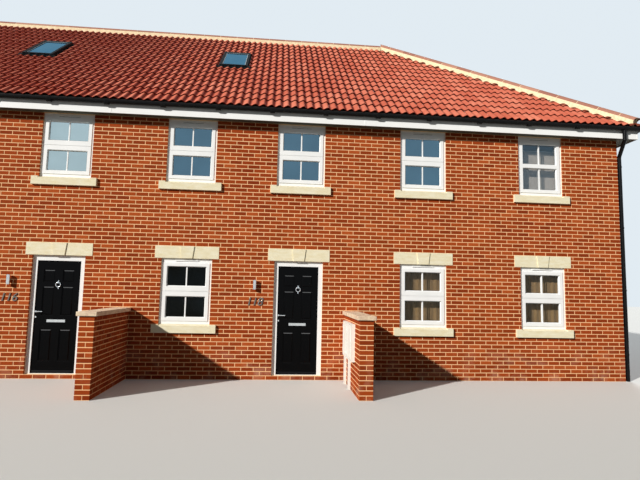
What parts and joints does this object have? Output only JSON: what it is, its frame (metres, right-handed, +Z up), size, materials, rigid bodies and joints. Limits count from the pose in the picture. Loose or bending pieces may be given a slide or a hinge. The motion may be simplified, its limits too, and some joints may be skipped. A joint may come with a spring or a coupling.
{
  "type": "terraced house row",
  "caption": "Two-storey brick terraced house row with a hipped pantile roof, stone sills and lintels, hinged front doors and low garden walls",
  "frame": {"origin": "middle of the row's bounding box in plan, at the foot of its walls", "axes": "+X along the row to the hipped end, +Y from the front to the rear, +Z up"},
  "size_m": [18.9044, 10.351, 8.7574],
  "materials": {
    "brickwork": "orange-red facing brick in cream mortar",
    "concrete": "smooth concrete",
    "floor_boards": "softwood boards",
    "clay_tiles": "matt red clay, weathered",
    "mortar": "cream mortar",
    "white_boards": "white, satin",
    "white_frames": "white, satin",
    "black_rainwater": "black, satin",
    "cast_stone": "cream-yellow cast stone",
    "pale_stone": "pale cast stone, weathered",
    "window_glass": "clear, reflecting",
    "roof_window_metal": "dark grey coated",
    "door_skin": "black, satin gloss",
    "door_fittings": "polished",
    "lamp_steel": "brushed",
    "meter_plastic": "off-white"
  },
  "bodies": {
    "house_row": {"front_wall_lower": "brickwork", "front_wall_upper": "brickwork", "rear_wall": "brickwork", "side_wall": "brickwork", "party_walls": "brickwork", "door_steps": "brickwork", "ground_floor": "concrete", "first_floor": "floor_boards", "loft_floor": "floor_boards", "front_roof_slope": "clay_tiles", "rear_roof_slope": "clay_tiles", "hip_roof_slope": "clay_tiles", "ridge_tiles": "clay_tiles", "hip_tiles": "clay_tiles", "ridge_and_hip_mortar": "mortar", "front_eaves_boards": "white_boards", "side_eaves_boards": "white_boards", "rear_eaves_boards": "white_boards", "front_gutter": "black_rainwater", "side_gutter": "black_rainwater", "rear_gutter": "black_rainwater", "downpipes": "black_rainwater", "lintels": "cast_stone", "sills": "cast_stone", "front_lower_windows": "white_frames", "front_upper_windows": "white_frames", "rear_windows": "white_frames", "front_lower_glass": "window_glass", "front_upper_glass": "window_glass", "rear_glass": "window_glass", "roof_window_frames": "roof_window_metal", "roof_window_glass": "window_glass", "right_door_frame": "white_frames", "left_door_frame": "white_frames", "fixed_door_frames": "white_frames", "fixed_door_leaves": "door_skin", "fixed_door_furniture": "door_fittings", "garden_walls": "brickwork", "garden_wall_copings": "pale_stone", "meter_boxes": "meter_plastic", "wall_lamps": "lamp_steel"},
    "right_door": {"right_door_leaf": "door_skin", "right_door_furniture": "door_fittings"},
    "left_door": {"left_door_leaf": "door_skin", "left_door_furniture": "door_fittings"}
  },
  "joints": [
    {"name": "right_door_hinge", "type": "hinge", "parent": "house_row", "child": "right_door", "pos_m": [3.00375, -3.3275, 1.1], "axis": [0, 0, -1], "range_deg": [0, 90]},
    {"name": "left_door_hinge", "type": "hinge", "parent": "house_row", "child": "left_door", "pos_m": [-1.30325, -3.3275, 1.1], "axis": [0, 0, -1], "range_deg": [0, 90]}
  ]
}
